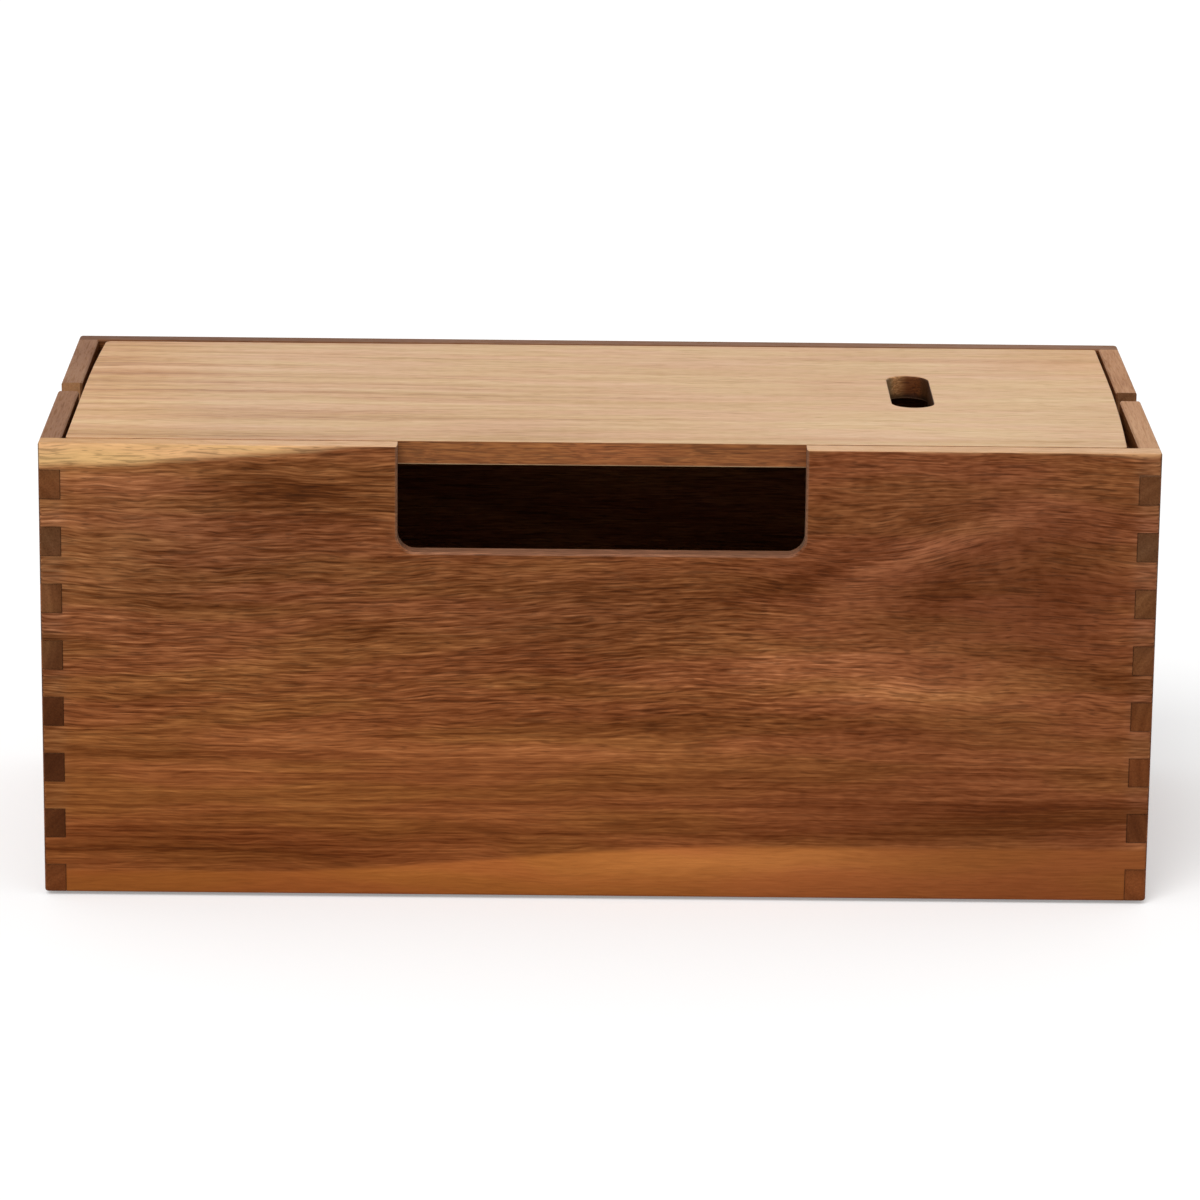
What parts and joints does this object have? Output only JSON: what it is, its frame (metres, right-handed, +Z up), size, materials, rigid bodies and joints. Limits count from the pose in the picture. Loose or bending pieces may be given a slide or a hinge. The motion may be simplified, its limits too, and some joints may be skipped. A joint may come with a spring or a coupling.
{
  "type": "cable management box",
  "caption": "Finger-jointed wooden cable box with a wide notch in the front rim, a cord slot in each end rim and a flush drop-in lid with a finger hole.",
  "frame": {"origin": "centre of the footprint, on the surface that the foot pads stand on", "axes": "+X along the box to the end nearer the finger hole, -Y out of the notched front wall, +Z up out of the lid"},
  "size_m": [0.31, 0.135, 0.131],
  "materials": {
    "front_wood": "satin oiled acacia, mid-brown heartwood with a pale strip along the rim",
    "back_wood": "satin oiled acacia",
    "left_end_wood": "satin oiled acacia, dark heartwood",
    "right_end_wood": "satin oiled acacia, lighter heartwood",
    "lid_wood": "satin oiled acacia, pale with fine straight grain",
    "inner_wood": "plain acacia, unfinished inside",
    "foot_rubber": "matt black"
  },
  "bodies": {
    "box": {"front_panel": "front_wood", "back_panel": "back_wood", "left_end_panel": "left_end_wood", "right_end_panel": "right_end_wood", "bottom_panel": "inner_wood", "ledge_left_front": "inner_wood", "ledge_left_rear": "inner_wood", "ledge_right_front": "inner_wood", "ledge_right_rear": "inner_wood", "foot_pad_left_front": "foot_rubber", "foot_pad_left_rear": "foot_rubber", "foot_pad_right_front": "foot_rubber", "foot_pad_right_rear": "foot_rubber"},
    "lid": {"lid": "lid_wood"}
  },
  "joints": [
    {"name": "lid_lift", "type": "slide", "parent": "box", "child": "lid", "axis": [0, 0, 1], "range_m": [0, 0.15]}
  ]
}
